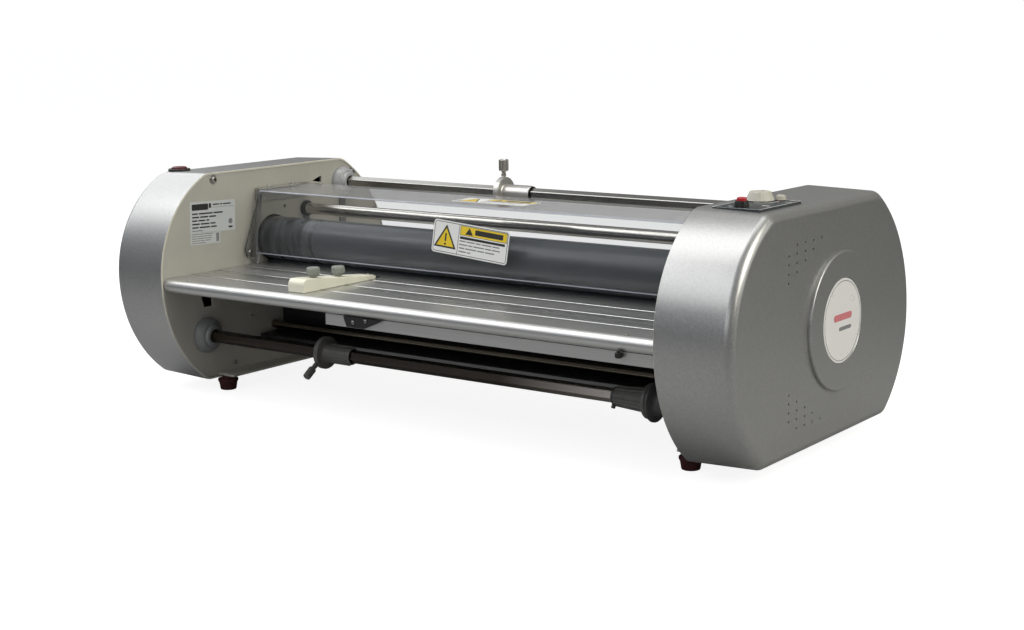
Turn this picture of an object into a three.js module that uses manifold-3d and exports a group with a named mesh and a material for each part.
// Cold roll laminator for 28 inch film: two end covers on side plates, a silicone roller pair,
// a feed table with an edge guide, a supply shaft above and a take-up shaft below.
// Millimetres. +X runs from the plain end to the drive end, -Y is the feed side, +Z is up.
// The origin is on the standing surface, at the middle of the machine.
import * as THREE from "three";
import { mergeVertices } from "three/addons/utils/BufferGeometryUtils.js";
import Module from "manifold-3d";

const wasm = await Module();
wasm.setup();

// ---- Driving dimensions ----------------------------------------------------------------
const HALF_SPAN = 360; // end cover rim, from the middle
const COVER_END = 448.4; // outer face of an end cover
const COVER_WALL = 2.5;
const COVER_EDGE = 10; // rounding between the band and the outer face
const COVER_TOP = 283;
const COVER_BOTTOM = 15;
const HALF_DEPTH = 216.5;
const TOP_ROUND = 27;
const BOTTOM_ROUND = 19;
const FRONT_ARC = { apexZ: 154, above: 142, below: 171 };
const REAR_ARC = { apexZ: 131, above: 172, below: 141 };
const BOSS = { y: 26, z: 148.5, r: 77, rise: 4, badgeR: 47.3, badgeDepth: 1 };
const GAP = 0.3; // between neighbours that touch
const PLATE_IN = 361; // inner face of a side plate
const PLATE_THICK = 3;
const PLATE_OUT = PLATE_IN + PLATE_THICK;
const BETWEEN = PLATE_IN - 0.6; // half length of what is bolted between the plates

const ROLLER_Y = -13.8;
const ROLLER_R = 28.8;
const NIP_Z = 158.3;
const ROLLER_PITCH = 58; // distance between the two roller axes, and gear pitch diameter
const TOP_ROLLER_Z = NIP_Z + ROLLER_PITCH / 2;
const BOTTOM_ROLLER_Z = NIP_Z - ROLLER_PITCH / 2;
const ROLLER_END = 366;
const ROLLER_BORE = 9;
const ROLLER_SHAFT_R = 8.7;
const BEARING = { from: 367, to: 381, halfWidth: 28, bore: 9.1 };
const GEAR = { from: 383, to: 391, module: 2, teeth: 29, pinionTeeth: 12, pinionAngle: -60 };

const SUPPLY = { y: 125, z: 250, hubR: 21, turn: 0 };
const TAKEUP = { y: -143.5, z: 74.5, hubR: 23, turn: -18.5 };
const HEX_R = 8.08; // corner radius of a 14 mm hexagon bar
const SHAFT_END = 356.4;
const COLLAR = { flangeR: 20, flangeWide: 8, sleeveR: 10.8, length: 50, bore: 8.7 };
const SUPPLY_COLLAR_X = -81.5;
const TAKEUP_COLLAR_X = -157;
const TAKEUP_SCREW_ANGLE = 215; // from +Y towards +Z, the way the lower thumbscrew points

const IDLER = { y: 50, z: 220, r: 8, journalR: 5 };
const TIE_ROD = { y: -20, z: 70, r: 5.5 };

const TABLE_TOP = 156.5;
const TABLE_THICK = 17;
const TABLE_FRONT = -212.9;
const GROOVES = [-165, -121, -77];
const FASCIA_Y = -207;
const FASCIA_BOTTOM = 126;
const LOWER_TRAY = { lip: -46, lipLow: 54, y: -2, top: 97, sheet: 2 };
const EXIT_REAR = 170;

const SHIELD = { front: -51.4, rear: 54, top: 254.5, foot: -60.7, footZ: 172, sheet: 3, halfTop: 349 };
const SHIELD_EAR = { halfWide: 357, inner: 345, z: 158.5 };
const SHIELD_CHEEK = { reach: 73.5, low: 166, thick: 2.8 };
const SHIELD_PIVOT = { y: 44, z: 246 };

const GUIDE = { x: -148.5, wide: 25, front: -196, rear: -66, high: 172.4, low: 161 };
const PANEL = { x0: 376, x1: 431.5, y0: -129, y1: -36, z: COVER_TOP + GAP, thick: 0.7 };
const STOP_BUTTON = { x: 404.5, y: -117, r: 5.1, hole: 5.6 };
const SPEED_KNOB = { x: 393.6, y: -57, r: 15.2, shaft: 3 };
const MODE_KNOB = { x: 411, y: -43.6, r: 5.5, shaft: 2 };
const LEFT_BUTTON = { x: -432, y: -112, r: 10 };
const INLET = { x: 389, z: 131, wide: 34, high: 26 };
const ROCKER = { x: 424, z: 131, wide: 16, high: 22, tilt: 8 };
const FOOT = { x: 349, y: 120, r: 13.2, padHigh: 14.6, stemR: 8, high: 17.5 };
const FLANGE = { reach: 334, y: 136, thick: 3 };

// ---- Finishes --------------------------------------------------------------------------
const finish = (color, roughness, metalness = 0) => () =>
  new THREE.MeshStandardMaterial({ color, roughness, metalness });
const SILVER = finish(0xa2a4a8, 0.4, 0.6);
const PLATE = finish(0xb9b6ab, 0.5);
const ALUMINIUM = finish(0xb4b4b0, 0.35, 0.9);
const STEEL = finish(0x9c9a94, 0.3, 1);
const BLACK_METAL = finish(0x1c1c1d, 0.5, 0.3);
const SILICONE = finish(0x586066, 0.4);
const HUB_GREY = finish(0x7d8184, 0.4);
const HUB_DARK = finish(0x333436, 0.5);
const CLEAR = finish(0xdfe4ea, 0.08);
const CREAM = finish(0xdedbc8, 0.45);
const KNOB_GREY = finish(0x83877f, 0.5);
const RED = finish(0xb4101c, 0.35);
const FOOT_RED = finish(0x4a0d10, 0.6);
const PANEL_GREY = finish(0x33383c, 0.5);
const BLACK = finish(0x141414, 0.5);
const BRASS = finish(0xb08d4a, 0.35, 1);

// ---- Geometry helpers --------------------------------------------------------------------
const TURN = Math.PI * 2;
const v2 = (x, y) => new THREE.Vector2(x, y);
const degrees = THREE.MathUtils.degToRad;

/** Points on an arc, both ends included; angles in radians. */
function arc(cx, cy, r, from, to, steps) {
  return Array.from({ length: steps + 1 }, (_, i) => {
    const a = from + ((to - from) * i) / steps;
    return v2(cx + r * Math.cos(a), cy + r * Math.sin(a));
  });
}

/** A closed mesh with shared vertices and no slivers. */
function weld(geometry) {
  const g = geometry.clone();
  g.deleteAttribute("normal");
  g.deleteAttribute("uv");
  const merged = mergeVertices(g, 1e-4);
  const kept = [];
  const index = merged.index.array;
  for (let i = 0; i < index.length; i += 3) {
    const [a, b, c] = [index[i], index[i + 1], index[i + 2]];
    if (a !== b && b !== c && a !== c) kept.push(a, b, c);
  }
  merged.setIndex(kept);
  return merged;
}

function solid(geometry) {
  const g = weld(geometry);
  return new wasm.Manifold(
    new wasm.Mesh({
      numProp: 3,
      vertProperties: new Float32Array(g.attributes.position.array),
      triVerts: new Uint32Array(g.index.array),
    }),
  );
}

function geometryOf(manifold) {
  const mesh = manifold.getMesh();
  const g = new THREE.BufferGeometry();
  g.setAttribute("position", new THREE.BufferAttribute(new Float32Array(mesh.vertProperties), 3));
  g.setIndex(new THREE.BufferAttribute(new Uint32Array(mesh.triVerts), 1));
  return g;
}

/** The first geometry joined with the added ones, then cut by the others. */
function combine(base, { add = [], cut = [] }) {
  let body = solid(base);
  for (const g of add) body = body.add(solid(g));
  for (const g of cut) body = body.subtract(solid(g));
  return geometryOf(body);
}

const ALONG_X = new THREE.Matrix4().makeBasis(
  new THREE.Vector3(0, 1, 0),
  new THREE.Vector3(0, 0, 1),
  new THREE.Vector3(1, 0, 0),
);

/** A shape drawn in (y, z), extruded from x0 to x1. */
function alongX(shape, x0, x1, curveSegments = 12) {
  const g = new THREE.ExtrudeGeometry(shape, { depth: x1 - x0, bevelEnabled: false, curveSegments });
  return g.applyMatrix4(ALONG_X).translate(x0, 0, 0);
}

/** A profile of [radius, height] pairs turned about +Z. */
function turned(profile, segments = 24) {
  return new THREE.LatheGeometry(profile.map(([r, h]) => v2(r, h)), segments).rotateX(Math.PI / 2);
}

/** The same about +X, through (y, z). */
function turnedX(profile, y, z, segments = 24) {
  const points = profile.map(([r, h]) => v2(r, h));
  return new THREE.LatheGeometry(points, segments).rotateZ(-Math.PI / 2).translate(0, y, z);
}

/** A box by its corners. */
function box(x0, x1, y0, y1, z0, z1) {
  const g = new THREE.BoxGeometry(x1 - x0, y1 - y0, z1 - z0);
  return g.translate((x0 + x1) / 2, (y0 + y1) / 2, (z0 + z1) / 2);
}

/** A cylinder along X, as a cutter or a bar. */
function barX(r, x0, x1, y, z, segments = 24) {
  return turnedX([[0, x0], [r, x0], [r, x1], [0, x1]], y, z, segments);
}

/** A cylinder along Z. */
function barZ(r, x, y, z0, z1, segments = 24) {
  return turned([[0, z0], [r, z0], [r, z1], [0, z1]], segments).translate(x, y, 0);
}

const polygon = (points) => new THREE.Shape(points.map(([y, z]) => v2(y, z)));
const hole = (y, z, r, segments) => new THREE.Path(arc(y, z, r, 0, -TURN, segments).slice(0, -1));

/** The X-mirror of a geometry, with its faces still pointing out. */
function mirrored(geometry) {
  const g = weld(geometry).scale(-1, 1, 1);
  const index = g.index.array;
  for (let i = 0; i < index.length; i += 3) [index[i], index[i + 1]] = [index[i + 1], index[i]];
  return g;
}
const onSide = (side, geometry) => (side < 0 ? mirrored(geometry) : geometry);

const machine = new THREE.Group();
function part(name, geometry, material, group = machine) {
  const mesh = new THREE.Mesh(weld(geometry), material());
  mesh.name = name;
  group.add(mesh);
  return mesh;
}

// ---- End covers and side plates ------------------------------------------------------------
/** Half of the end outline, from the middle of the top to the middle of the bottom, for y > 0. */
function halfOutline({ apexZ, above, below }, inset) {
  const top = COVER_TOP - inset;
  const bottom = COVER_BOTTOM + inset;
  const [r1, r2] = [TOP_ROUND - inset, BOTTOM_ROUND - inset];
  const [big1, big2] = [above - inset, below - inset];
  const [c1, c2] = [HALF_DEPTH - above, HALF_DEPTH - below];
  const z1 = top - r1;
  const y1 = c1 + Math.sqrt((big1 - r1) ** 2 - (z1 - apexZ) ** 2);
  const a1 = Math.atan2(z1 - apexZ, y1 - c1);
  const z2 = bottom + r2;
  const y2 = c2 + Math.sqrt((big2 - r2) ** 2 - (z2 - apexZ) ** 2);
  const a2 = Math.atan2(z2 - apexZ, y2 - c2);
  return [
    ...arc(y1, z1, r1, Math.PI / 2, a1, 5),
    ...arc(c1, apexZ, big1, a1, 0, 8).slice(1),
    ...arc(c2, apexZ, big2, 0, a2, 8).slice(1),
    ...arc(y2, z2, r2, a2, -Math.PI / 2, 4).slice(1),
  ];
}

function endOutline(inset) {
  const rear = halfOutline(REAR_ARC, inset);
  const front = halfOutline(FRONT_ARC, inset).map((p) => v2(-p.x, p.y));
  return [...front.reverse(), ...rear].reverse();
}

/** A prism of the end outline that ends at x1 with its far edge rounded or chamfered. */
function endPrism(inset, x1, edge, edgeSteps) {
  const x0 = HALF_SPAN - 3 * edge;
  const g = new THREE.ExtrudeGeometry(new THREE.Shape(endOutline(inset)), {
    depth: x1 - x0 - 2 * edge,
    bevelThickness: edge,
    bevelSize: edge,
    bevelOffset: -edge,
    bevelSegments: edgeSteps,
  });
  return g.applyMatrix4(ALONG_X).translate(x0 + edge, 0, 0);
}

function endCover(cuts) {
  const face = COVER_END + BOSS.rise;
  const boss = turnedX(
    [
      [0, COVER_END - 2], [BOSS.r, COVER_END - 2], [BOSS.r, face - 2], [BOSS.r - 2, face],
      [BOSS.badgeR, face], [BOSS.badgeR, face - BOSS.badgeDepth], [0, face - BOSS.badgeDepth],
    ],
    BOSS.y, BOSS.z, 40,
  );
  return combine(endPrism(0, COVER_END, COVER_EDGE, 3), {
    add: [boss],
    cut: [
      endPrism(COVER_WALL, COVER_END - 3, COVER_EDGE - 1.5, 1),
      box(HALF_SPAN - 60, HALF_SPAN, -300, 300, -10, 400),
      ...cuts,
    ],
  });
}

function rollerSlot() {
  const r = 31;
  const half = Math.asin(ROLLER_PITCH / 2 / r);
  const upper = arc(ROLLER_Y, TOP_ROLLER_Z, r, Math.PI + half, -half, 18);
  const lower = arc(ROLLER_Y, BOTTOM_ROLLER_Z, r, half, -Math.PI - half, 18);
  return new THREE.Path([...upper, ...lower.slice(1, -1)]);
}

function sidePlate() {
  const shape = new THREE.Shape(endOutline(COVER_WALL + GAP));
  shape.holes.push(
    rollerSlot(),
    hole(IDLER.y, IDLER.z, 8.5, 20),
    hole(SUPPLY.y, SUPPLY.z, 6.5, 16),
    hole(TAKEUP.y, TAKEUP.z, 6.5, 16),
    hole(SHIELD_PIVOT.y, SHIELD_PIVOT.z, 3.5, 12),
    hole(8.9, 227, 2.4, 6),
    hole(-59.6, 87.3, 2.2, 6),
    new THREE.Path([v2(-150, 125.5), v2(-130, 125.5), v2(-130, 111), v2(-145, 111)]),
    new THREE.Path([v2(64, 256), v2(83, 262), v2(83, 252.5)]),
  );
  const bottom = COVER_BOTTOM + COVER_WALL + GAP;
  const flange = box(FLANGE.reach, PLATE_IN + 1, -FLANGE.y, FLANGE.y, bottom, bottom + FLANGE.thick);
  const springSeat = box(PLATE_OUT - 1, 384, ROLLER_Y - 11, ROLLER_Y + 11, 243, 246);
  return combine(alongX(shape, PLATE_IN, PLATE_OUT), { add: [flange, springSeat] });
}

const buttonHole = (b, r) => barZ(r, b.x, b.y, COVER_TOP - 8, COVER_TOP + 5, 20);
const rearHole = (b) =>
  box(b.x - b.wide / 2, b.x + b.wide / 2, 190, 230, b.z - b.high / 2, b.z + b.high / 2);

part("left_side_plate", mirrored(sidePlate()), PLATE);
part("right_side_plate", sidePlate(), PLATE);
part("left_end_cover", mirrored(endCover([barZ(LEFT_BUTTON.r + 0.7, -LEFT_BUTTON.x, LEFT_BUTTON.y, 270, 290)])), SILVER);
part(
  "right_end_cover",
  endCover([
    buttonHole(STOP_BUTTON, STOP_BUTTON.hole),
    buttonHole(SPEED_KNOB, SPEED_KNOB.shaft + 0.6),
    buttonHole(MODE_KNOB, MODE_KNOB.shaft + 0.6),
    rearHole(INLET),
    rearHole(ROCKER),
  ]),
  SILVER,
);

for (const [end, sy] of [["front", -1], ["rear", 1]]) {
  for (const [side, sx] of [["left", -1], ["right", 1]]) {
    const foot = turned([
      [0, 0], [9.5, 0], [10.5, 1.2], [FOOT.r - 0.7, 11], [FOOT.r, 12.2], [FOOT.r, FOOT.padHigh],
      [FOOT.stemR, FOOT.padHigh], [FOOT.stemR, FOOT.high], [0, FOOT.high],
    ]);
    part(`foot_${end}_${side}`, foot, FOOT_RED).position.set(sx * FOOT.x, sy * FOOT.y, 0);
  }
}

// ---- Tables and cross panels ---------------------------------------------------------------
function feedTable() {
  const r = TABLE_THICK / 2;
  const slots = [...GROOVES].reverse().flatMap((y) => [
    [y + 1.5, TABLE_TOP], [y + 1.5, TABLE_TOP - 3], [y + 4, TABLE_TOP - 3], [y + 4, TABLE_TOP - 6.5],
    [y - 4, TABLE_TOP - 6.5], [y - 4, TABLE_TOP - 3], [y - 1.5, TABLE_TOP - 3], [y - 1.5, TABLE_TOP],
  ]);
  const nose = arc(TABLE_FRONT + r, TABLE_TOP - r, r, Math.PI / 2, (3 * Math.PI) / 2, 8);
  const shape = new THREE.Shape([
    ...nose,
    v2(-43, TABLE_TOP - TABLE_THICK),
    v2(-43, TABLE_TOP - 9),
    v2(-28, TABLE_TOP - 2),
    v2(-28, TABLE_TOP),
    ...slots.map(([y, z]) => v2(y, z)),
  ]);
  return alongX(shape, -BETWEEN, BETWEEN);
}

function exitTable() {
  const t = 2.5;
  const shape = polygon([
    [4, TABLE_TOP - 2], [6, TABLE_TOP], [EXIT_REAR, TABLE_TOP], [EXIT_REAR, TABLE_TOP - 22],
    [EXIT_REAR - 14, TABLE_TOP - 22], [EXIT_REAR - 14, TABLE_TOP - 22 + t],
    [EXIT_REAR - t, TABLE_TOP - 22 + t], [EXIT_REAR - t, TABLE_TOP - t], [6, TABLE_TOP - t],
  ]);
  return alongX(shape, -BETWEEN, BETWEEN);
}

function frontFascia() {
  const top = TABLE_TOP - TABLE_THICK - GAP;
  const y = FASCIA_Y;
  const shape = polygon([
    [y, FASCIA_BOTTOM], [y + 14, FASCIA_BOTTOM], [y + 14, FASCIA_BOTTOM + 2],
    [y + 2, FASCIA_BOTTOM + 2], [y + 2, top], [y, top],
  ]);
  return alongX(shape, -92, BETWEEN);
}

function tableBracket() {
  const top = TABLE_TOP - TABLE_THICK - GAP;
  const shape = new THREE.Shape([v2(-57, 127), v2(-31, 127), v2(-14, 134), v2(-2, top), v2(-62, top)]);
  const g = new THREE.ExtrudeGeometry(shape, { depth: 2.5, bevelEnabled: false });
  return g.rotateX(Math.PI / 2).translate(0, FASCIA_Y - GAP, 0);
}

/** Bent sheet under the rollers: a turned-down front lip, a shallow floor and an upright back. */
function lowerTray() {
  const { lip, lipLow, y, top, sheet } = LOWER_TRAY;
  const shape = polygon([
    [lip, lipLow], [lip + sheet, lipLow], [lip + sheet, 58.6], [-26, 59.4], [y + sheet, 60.6],
    [y + sheet, top - sheet], [y + 14, top - sheet], [y + 14, top], [y, top], [y, 62.6],
    [-28, 61.2], [lip, 60.6],
  ]);
  return alongX(shape, -BETWEEN, BETWEEN);
}

part("feed_table", feedTable(), ALUMINIUM);
part("front_fascia", frontFascia(), ALUMINIUM);
part("table_bracket", tableBracket(), BLACK_METAL);
part(
  "table_screw",
  turned([[0, -6.4], [3, -6.4], [3.9, -5.4], [3.9, -0.8], [1.8, -0.8], [1.8, 1], [0, 1]], 16),
  BLACK,
).position.set(316, FASCIA_Y - 4.3, TABLE_TOP - TABLE_THICK);
part("exit_table", exitTable(), ALUMINIUM);
part("lower_tray", lowerTray(), BLACK_METAL);
part("tie_rod", barX(TIE_ROD.r, -BETWEEN, BETWEEN, TIE_ROD.y, TIE_ROD.z, 16), STEEL);

// ---- Rollers, bearings and gears -------------------------------------------------------------
function bearingBlock(z, low, high) {
  const shape = polygon([
    [ROLLER_Y - BEARING.halfWidth, low], [ROLLER_Y + BEARING.halfWidth, low],
    [ROLLER_Y + BEARING.halfWidth, high], [ROLLER_Y - BEARING.halfWidth, high],
  ]);
  shape.holes.push(hole(ROLLER_Y, z, BEARING.bore, 24));
  return alongX(shape, BEARING.from, BEARING.to);
}

class Helix extends THREE.Curve {
  constructor(radius, height, turns) {
    super();
    Object.assign(this, { radius, height, turns });
  }
  getPoint(t, target = new THREE.Vector3()) {
    const a = t * this.turns * TURN;
    return target.set(this.radius * Math.cos(a), this.radius * Math.sin(a), this.height * t);
  }
}

function pressureSpring() {
  const wire = new THREE.Shape(arc(0, 0, 1.1, 0, TURN, 6).slice(0, -1));
  const path = new Helix(6, 24, 4);
  return new THREE.ExtrudeGeometry(wire, { steps: 44, extrudePath: path, bevelEnabled: false });
}

/** Outline of a spur gear with straight-sided teeth; one tooth is centred on the angle first. */
function gearOutline(teeth, first) {
  const pitchR = (GEAR.module * teeth) / 2;
  const [tip, root] = [pitchR + 0.8 * GEAR.module, pitchR - 1.2 * GEAR.module];
  const [tipHalf, rootHalf] = [0.35 * GEAR.module, 0.85 * GEAR.module];
  const points = [];
  for (let i = 0; i < teeth; i++) {
    const a = first + (i * TURN) / teeth;
    for (const [r, w] of [[root, -rootHalf], [tip, -tipHalf], [tip, tipHalf], [root, rootHalf]]) {
      points.push(v2(r * Math.cos(a + w / r), r * Math.sin(a + w / r)));
    }
  }
  return points;
}

function rollerGear(z, first) {
  const shape = new THREE.Shape(gearOutline(GEAR.teeth, first).map((p) => v2(p.x + ROLLER_Y, p.y + z)));
  shape.holes.push(hole(ROLLER_Y, z, ROLLER_BORE, 24));
  return alongX(shape, GEAR.from, GEAR.to);
}

const toothAngle = TURN / GEAR.teeth;
const bottomFirst = Math.PI / 2 + toothAngle / 2; // a gap faces the upper gear's tooth
const pinionDirection = degrees(GEAR.pinionAngle);
const pinionCentre = (() => {
  const distance = (GEAR.module * (GEAR.teeth + GEAR.pinionTeeth)) / 2;
  return v2(
    ROLLER_Y + distance * Math.cos(pinionDirection),
    BOTTOM_ROLLER_Z + distance * Math.sin(pinionDirection),
  );
})();
const offset = ((pinionDirection - bottomFirst) / toothAngle) % 1;
const pinionFirst = pinionDirection + Math.PI - (0.5 - offset) * (TURN / GEAR.pinionTeeth);

function motorPinion() {
  const shape = new THREE.Shape(
    gearOutline(GEAR.pinionTeeth, pinionFirst).map((p) => p.add(pinionCentre)),
  );
  const stub = barX(4, GEAR.to - 1, GEAR.to + 2.7, pinionCentre.x, pinionCentre.y, 16);
  return combine(alongX(shape, GEAR.from, GEAR.to), { add: [stub] });
}

function gearMotor() {
  const [y, z] = [pinionCentre.x, pinionCentre.y];
  const plate = box(GEAR.to + 3, GEAR.to + 6, y - 34, y + 50, z - 34, z + 38);
  const posts = [[-30, -30], [46, -30], [46, 34]].map(([dy, dz]) =>
    box(PLATE_OUT + GAP, GEAR.to + 4, y + dy - 4, y + dy + 4, z + dz - 4, z + dz + 4),
  );
  const drum = barX(26, GEAR.to + 5, 441, y, z, 28);
  return combine(plate, { add: [...posts, drum] });
}

for (const [side, sx] of [["left", -1], ["right", 1]]) {
  const top = bearingBlock(TOP_ROLLER_Z, NIP_Z + 5, TOP_ROLLER_Z + 28);
  const bottom = bearingBlock(BOTTOM_ROLLER_Z, BOTTOM_ROLLER_Z - 26, NIP_Z - 4);
  part(`top_bearing_${side}`, onSide(sx, top), BLACK_METAL);
  part(`bottom_bearing_${side}`, onSide(sx, bottom), BLACK_METAL);
  const spring = part(`pressure_spring_${side}`, pressureSpring(), STEEL);
  spring.position.set(sx * 374, ROLLER_Y, TOP_ROLLER_Z + 28 + 1.5);
}
for (const [name, z, first] of [
  ["top_roller", TOP_ROLLER_Z, -Math.PI / 2],
  ["bottom_roller", BOTTOM_ROLLER_Z, bottomFirst],
]) {
  const sleeve = turnedX(
    [
      [ROLLER_BORE, -ROLLER_END], [ROLLER_R, -ROLLER_END], [ROLLER_R, ROLLER_END],
      [ROLLER_BORE, ROLLER_END], [ROLLER_BORE, -ROLLER_END],
    ],
    ROLLER_Y, z, 48,
  );
  part(name, sleeve, SILICONE);
  part(`${name}_shaft`, barX(ROLLER_SHAFT_R, -BEARING.to - 4, GEAR.to + 1, ROLLER_Y, z), STEEL);
  part(`${name}_gear`, rollerGear(z, first), STEEL);
}
part("motor_pinion", motorPinion(), BRASS);
part("gear_motor", gearMotor(), BLACK_METAL);

// ---- Idler bar -------------------------------------------------------------------------------
function idlerBush() {
  return turnedX(
    [
      [5.4, 356], [10.5, 356], [10.5, PLATE_IN - GAP], [8, PLATE_IN - GAP], [8, 368],
      [5.4, 368], [5.4, 356],
    ],
    IDLER.y, IDLER.z,
  );
}
for (const [side, sx] of [["left", -1], ["right", 1]]) {
  part(`idler_bush_${side}`, onSide(sx, idlerBush()), BLACK);
}
part(
  "idler_bar",
  turnedX(
    [
      [0, -370], [IDLER.journalR, -370], [IDLER.journalR, -355.7], [IDLER.r, -355.7],
      [IDLER.r, 355.7], [IDLER.journalR, 355.7], [IDLER.journalR, 370], [0, 370],
    ],
    IDLER.y, IDLER.z,
  ),
  STEEL,
);

// ---- Supply and take-up shafts -----------------------------------------------------------------
/** Domed hub: a stub through the plate, a disc against it and a round socket for the bar. */
function domedHub({ y, z, hubR }) {
  return turnedX(
    [
      [0, 356.8], [8.9, 356.8], [8.9, 344], [11.5, 344], [13, 347], [0.75 * hubR, 350.5],
      [hubR - 1.5, 355], [hubR, 357.6], [hubR, PLATE_IN - GAP], [6, PLATE_IN - GAP], [6, 374], [0, 374],
    ],
    y, z,
  );
}

/** The spool-shaped drive hub at the right end of the take-up shaft. */
function driveHub() {
  return turnedX(
    [
      [0, 356.8], [8.9, 356.8], [8.9, 317.5], [20.5, 317.5], [22.3, 318.5], [22.3, 321.5], [17, 323.5],
      [13.5, 328], [13.5, 333], [16.5, 338], [22, 341], [22, 347], [18, 350], [18, PLATE_IN - GAP],
      [6, PLATE_IN - GAP], [6, 374], [0, 374],
    ],
    TAKEUP.y, TAKEUP.z,
  );
}

/** A 14 mm hexagon bar; turn is how far its corners lean from the vertical, in degrees. */
function hexBar({ y, z, turn }) {
  const start = Math.PI / 2 + degrees(turn);
  const shape = new THREE.Shape(arc(y, z, HEX_R, start, start + TURN, 6).slice(0, -1));
  return alongX(shape, -SHAFT_END, SHAFT_END);
}

/** Core collar at the origin, its flange from x = 0, with a radial hole towards +Z. */
function coreCollar() {
  const ring = turnedX(
    [
      [COLLAR.bore, 0], [COLLAR.flangeR, 0], [COLLAR.flangeR, COLLAR.flangeWide],
      [COLLAR.sleeveR, COLLAR.flangeWide], [COLLAR.sleeveR, COLLAR.length],
      [COLLAR.bore, COLLAR.length], [COLLAR.bore, 0],
    ],
    0, 0, 28,
  );
  return combine(ring, { cut: [barZ(2.6, COLLAR.flangeWide / 2, 0, 4, 30, 12)] });
}

/** Thumbscrew on +Z with a head of radius r, its tip just clear of the bar. */
function thumbscrew(r) {
  return turned(
    [
      [0, 8.5], [2.1, 8.5], [2.1, 20.4], [3.2, 20.4], [3.2, 27.7], [r - 0.6, 27.7], [r, 28.3],
      [r, 42.4], [r - 0.6, 43], [0, 43],
    ],
    16,
  );
}

function collarSet(name, { y, z }, x, angle, headR, material) {
  const group = new THREE.Group();
  group.position.set(x, y, z);
  group.rotation.x = degrees(angle - 90);
  machine.add(group);
  part(`${name}_collar`, coreCollar(), material, group);
  part(`${name}_thumbscrew`, thumbscrew(headR), STEEL, group).position.x = COLLAR.flangeWide / 2;
}

part("supply_shaft", hexBar(SUPPLY), STEEL);
part("supply_hub_left", mirrored(domedHub(SUPPLY)), HUB_GREY);
part("supply_hub_right", domedHub(SUPPLY), HUB_GREY);
collarSet("supply", SUPPLY, SUPPLY_COLLAR_X, 90, 6.4, ALUMINIUM);

part("takeup_shaft", hexBar(TAKEUP), STEEL);
part("takeup_hub_left", mirrored(domedHub(TAKEUP)), HUB_GREY);
part("takeup_hub_right", driveHub(), HUB_DARK);
part(
  "takeup_chuck",
  turnedX(
    [[8.7, 271.5], [10.5, 271.5], [13, 308], [19.5, 311.5], [19.5, 316], [8.7, 316], [8.7, 271.5]],
    TAKEUP.y, TAKEUP.z, 32,
  ),
  HUB_DARK,
);
collarSet("takeup", TAKEUP, TAKEUP_COLLAR_X, TAKEUP_SCREW_ANGLE, 4.8, HUB_DARK);

// ---- Safety shield -----------------------------------------------------------------------------
function shieldPanel() {
  const { front, rear, top, foot, footZ, sheet, halfTop } = SHIELD;
  const lean = (foot - front) / (footZ - top);
  const at = (z) => front + lean * (z - top);
  const profile = polygon([
    [front, top], [at(SHIELD_EAR.z), SHIELD_EAR.z], [at(SHIELD_EAR.z) + sheet, SHIELD_EAR.z],
    [front + sheet + lean * -sheet, top - sheet], [rear, top - sheet], [rear, top],
  ]);
  const { halfWide, inner } = SHIELD_EAR;
  // The front is a little wider than the top, and its middle stops short of the table.
  const outline = new THREE.Shape([
    v2(-halfTop, top + 1), v2(-halfTop, top - 4), v2(-halfWide, 185), v2(-halfWide, SHIELD_EAR.z - 1),
    v2(-inner, SHIELD_EAR.z - 1), v2(-inner, footZ), v2(inner, footZ), v2(inner, SHIELD_EAR.z - 1),
    v2(halfWide, SHIELD_EAR.z - 1), v2(halfWide, 185), v2(halfTop, top - 4), v2(halfTop, top + 1),
  ]);
  const mask = new THREE.ExtrudeGeometry(outline, { depth: 140, bevelEnabled: false });
  mask.rotateX(Math.PI / 2).translate(0, 66, 0);
  // A flat cheek at each end runs forward of the sheet beside the table.
  const cheek = alongX(
    polygon([
      [-43, 248], [-SHIELD_CHEEK.reach, 178], [-SHIELD_CHEEK.reach + 0.4, 175],
      [-69.5, SHIELD_CHEEK.low], [at(SHIELD_CHEEK.low) + 6, SHIELD_CHEEK.low], [at(200) + 6, 200], [-40, 248],
    ]),
    halfWide - SHIELD_CHEEK.thick,
    halfWide,
  );
  const bent = solid(alongX(profile, -halfWide, halfWide)).intersect(solid(mask));
  return geometryOf(bent.add(solid(cheek)).add(solid(mirrored(cheek))));
}

function shieldBracket() {
  const { top } = SHIELD;
  const leg = box(357.4, 358.9, -46, 54, 238, top + GAP + 1.5);
  const strip = box(345, 358, -46, 26, top + GAP, top + GAP + 1.5);
  const tab = box(345, 358, 38, 54, top - SHIELD.sheet - 1.5 - GAP, top - SHIELD.sheet - GAP);
  const pin = barX(3, 358.2, 366, SHIELD_PIVOT.y, SHIELD_PIVOT.z, 12);
  return combine(leg, { add: [strip, tab, pin] });
}

part("shield_panel", shieldPanel(), CLEAR);
part("shield_bracket_left", mirrored(shieldBracket()), BLACK_METAL);
part("shield_bracket_right", shieldBracket(), BLACK_METAL);

// ---- Edge guide --------------------------------------------------------------------------------
const guideTopAt = (y) =>
  GUIDE.high + ((GUIDE.low - GUIDE.high) * (y - GUIDE.front - 8)) / (GUIDE.rear - GUIDE.front - 8);

function guideBar() {
  const base = TABLE_TOP + GAP;
  const shape = new THREE.Shape([
    v2(GUIDE.front, base),
    v2(GUIDE.front, GUIDE.high - 6),
    ...arc(GUIDE.front + 6, GUIDE.high - 6, 6, Math.PI, Math.PI / 2, 4).slice(1),
    v2(GUIDE.front + 8, GUIDE.high),
    v2(GUIDE.rear, GUIDE.low),
    v2(GUIDE.rear, base),
  ].reverse());
  const holes = GROOVES.slice(0, 2).map((y) => barZ(3, GUIDE.x, y, base - 2, GUIDE.high + 2, 16));
  const half = GUIDE.wide / 2;
  return combine(alongX(shape, GUIDE.x - half, GUIDE.x + half), { cut: holes });
}

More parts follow.
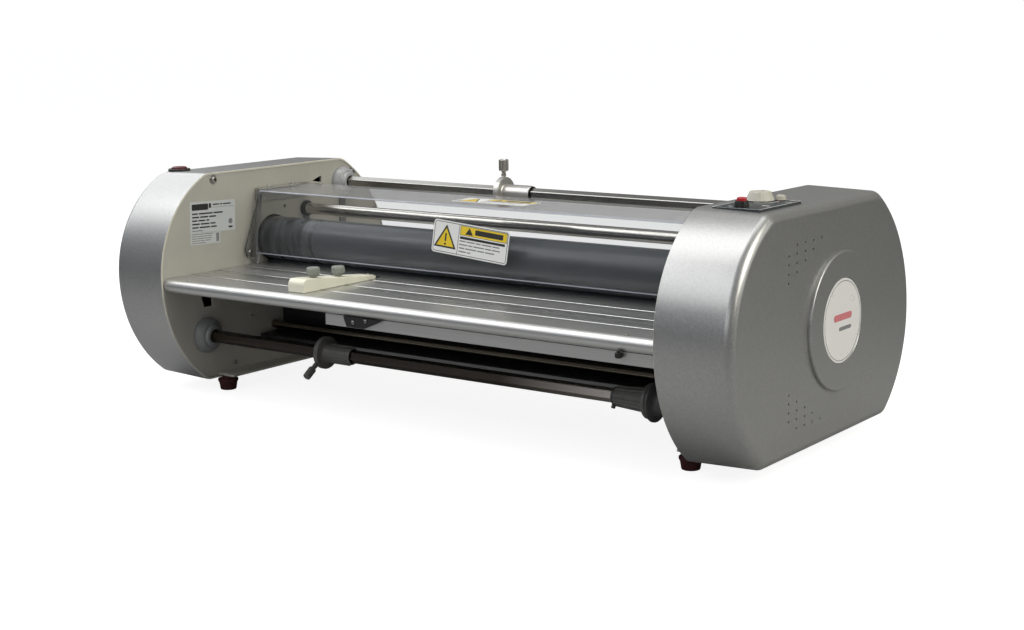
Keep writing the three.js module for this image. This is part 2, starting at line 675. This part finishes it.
function guideKnob(y) {
  const seat = guideTopAt(y) + 1;
  return turned(
    [
      [0, TABLE_TOP - 5], [1.2, TABLE_TOP - 5], [1.2, TABLE_TOP + 0.6], [2.5, TABLE_TOP + 0.6],
      [2.5, seat], [4.8, seat], [4.8, seat + 3.4], [7.6, seat + 3.6], [8.4, seat + 4.4],
      [8.4, seat + 10.6], [7.4, seat + 11.6], [0, seat + 12],
    ],
    24,
  ).translate(GUIDE.x, y, 0);
}

part("guide_bar", guideBar(), CREAM);
part(
  "guide_clip",
  box(GUIDE.x - 7, GUIDE.x + 8, GUIDE.rear + GAP, GUIDE.rear + 13, TABLE_TOP + GAP, TABLE_TOP + 4.6),
  STEEL,
);
part("guide_knob_front", guideKnob(GROOVES[0]), KNOB_GREY);
part("guide_knob_rear", guideKnob(GROOVES[1]), KNOB_GREY);

// ---- Controls ----------------------------------------------------------------------------------
function controlPanel() {
  const shape = polygon([
    [PANEL.x0, PANEL.y0], [PANEL.x1, PANEL.y0], [PANEL.x1, PANEL.y1], [PANEL.x0, PANEL.y1],
  ]);
  shape.holes.push(
    hole(STOP_BUTTON.x, STOP_BUTTON.y, STOP_BUTTON.hole, 20),
    hole(SPEED_KNOB.x, SPEED_KNOB.y, SPEED_KNOB.shaft + 0.6, 16),
    hole(MODE_KNOB.x, MODE_KNOB.y, MODE_KNOB.shaft + 0.6, 16),
  );
  return new THREE.ExtrudeGeometry(shape, { depth: PANEL.thick, bevelEnabled: false }).translate(0, 0, PANEL.z);
}

const deck = PANEL.z + PANEL.thick; // what stands on the panel rests here
part("control_panel", controlPanel(), PANEL_GREY);
part(
  "stop_button_base",
  turned(
    [
      [STOP_BUTTON.hole, deck + GAP], [7.5, deck + GAP], [7.1, deck + 4], [6.5, deck + 6.8],
      [STOP_BUTTON.hole, deck + 6.8], [STOP_BUTTON.hole, deck + GAP],
    ],
    24,
  ).translate(STOP_BUTTON.x, STOP_BUTTON.y, 0),
  BLACK,
);
part(
  "stop_button",
  turned(
    [[0, deck], [STOP_BUTTON.r, deck], [STOP_BUTTON.r, deck + 9.4], [STOP_BUTTON.r - 0.8, deck + 10.3], [0, deck + 10.3]],
    24,
  )
    .translate(STOP_BUTTON.x, STOP_BUTTON.y, 0),
  RED,
);
part(
  "speed_knob",
  turned(
    [
      [0, deck - 10], [SPEED_KNOB.shaft, deck - 10], [SPEED_KNOB.shaft, deck + 0.4],
      [SPEED_KNOB.r, deck + 0.4], [SPEED_KNOB.r - 3.4, deck + 9.5], [SPEED_KNOB.r - 4.4, deck + 10.3],
      [0, deck + 10.3],
    ],
    36,
  ).translate(SPEED_KNOB.x, SPEED_KNOB.y, 0),
  CREAM,
);
part(
  "mode_knob",
  turned(
    [
      [0, deck - 10], [MODE_KNOB.shaft, deck - 10], [MODE_KNOB.shaft, deck + 0.4],
      [MODE_KNOB.r, deck + 0.4], [MODE_KNOB.r, deck + 5.4], [MODE_KNOB.r - 0.6, deck + 6], [0, deck + 6],
    ],
    24,
  ).translate(MODE_KNOB.x, MODE_KNOB.y, 0),
  CREAM,
);
part(
  "left_stop_button",
  turned(
    [
      [0, COVER_TOP - 7], [LEFT_BUTTON.r, COVER_TOP - 7], [LEFT_BUTTON.r, COVER_TOP + 2.6],
      [LEFT_BUTTON.r - 1.4, COVER_TOP + 3.6], [0, COVER_TOP + 3.8],
    ],
    28,
  ).translate(LEFT_BUTTON.x, LEFT_BUTTON.y, 0),
  RED,
);

function powerInlet() {
  const [w, h] = [INLET.wide / 2 - GAP, INLET.high / 2 - GAP];
  const rear = HALF_DEPTH - 0.6;
  return combine(box(INLET.x - w, INLET.x + w, 196, rear, INLET.z - h, INLET.z + h), {
    cut: [box(INLET.x - w + 5, INLET.x + w - 5, 200, rear + 5, INLET.z - h + 4, INLET.z + h - 4)],
  });
}

function powerRocker() {
  const half = ROCKER.high / 2 - 1.2;
  const rear = HALF_DEPTH - 1.6;
  const shape = polygon([
    [rear - 9, -half + 2.5], [rear - 9, half - 2.5], [rear - 0.6, half], [rear - 2.2, 0], [rear - 0.6, -half],
  ].reverse());
  const w = ROCKER.wide / 2 - 0.6;
  const pivot = rear - 7;
  return alongX(shape, -w, w)
    .translate(0, -pivot, 0)
    .rotateX(degrees(-ROCKER.tilt))
    .translate(ROCKER.x, pivot, ROCKER.z);
}
part("power_inlet", powerInlet(), BLACK);
part("power_rocker", powerRocker(), BLACK);

export default machine;
